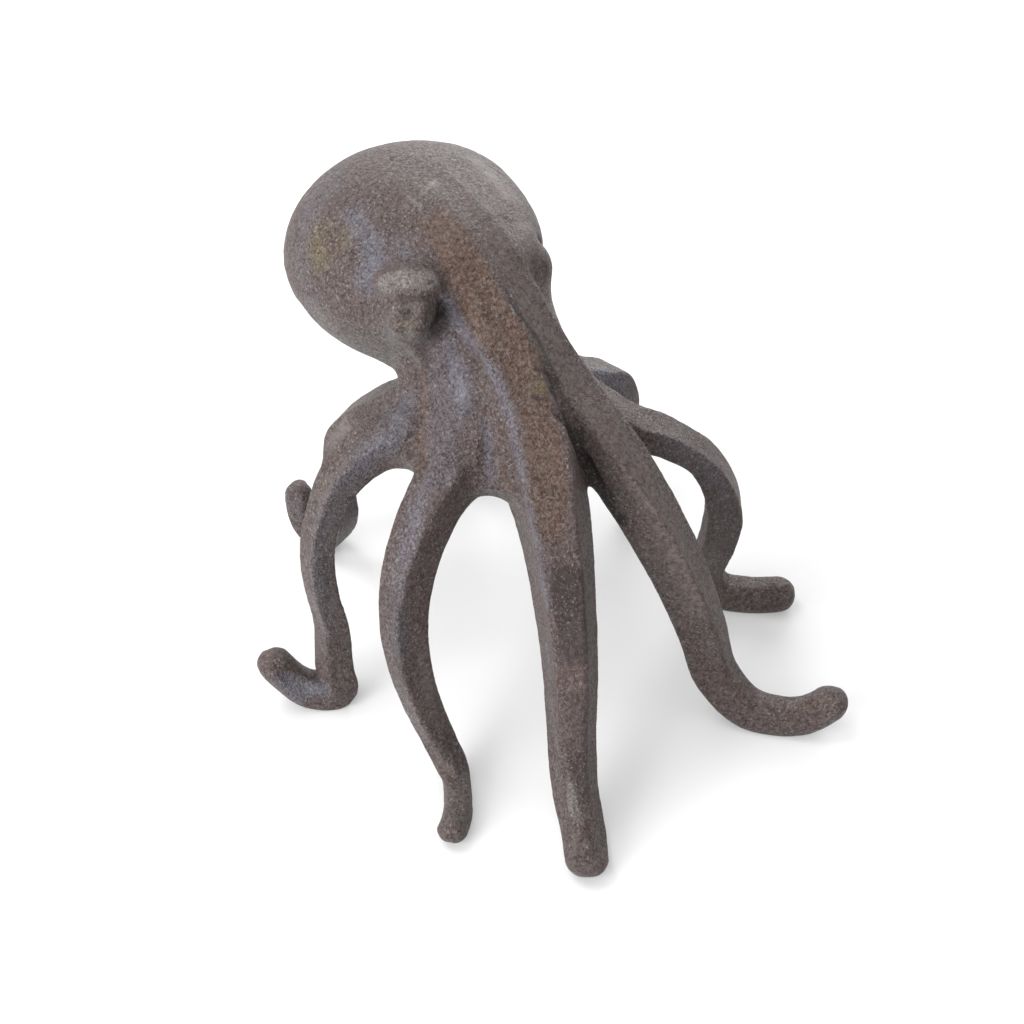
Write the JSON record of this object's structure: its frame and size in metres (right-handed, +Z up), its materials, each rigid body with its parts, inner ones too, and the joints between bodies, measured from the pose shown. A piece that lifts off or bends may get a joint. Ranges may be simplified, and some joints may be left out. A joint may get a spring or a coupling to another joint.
{
  "type": "octopus figurine",
  "caption": "Cast iron octopus ornament with a large rounded head, hooded eyes and long curling arms that it stands on.",
  "frame": {"origin": "on the ground, under the middle of the figure's bounding box", "axes": "+Z up; +X towards the animal's right side as seen from in front of it, and -Y the way it faces, so the mantle hangs back along +Y"},
  "size_m": [0.157, 0.1776, 0.1428],
  "materials": {
    "cast_iron": "sand cast, dark brown patina, semi-gloss",
    "screw_steel": "darkened steel"
  },
  "bodies": {
    "root": {"left_half_casting": "cast_iron", "right_half_casting": "cast_iron", "mantle_screw": "screw_steel", "neck_screw": "screw_steel"}
  },
  "joints": []
}
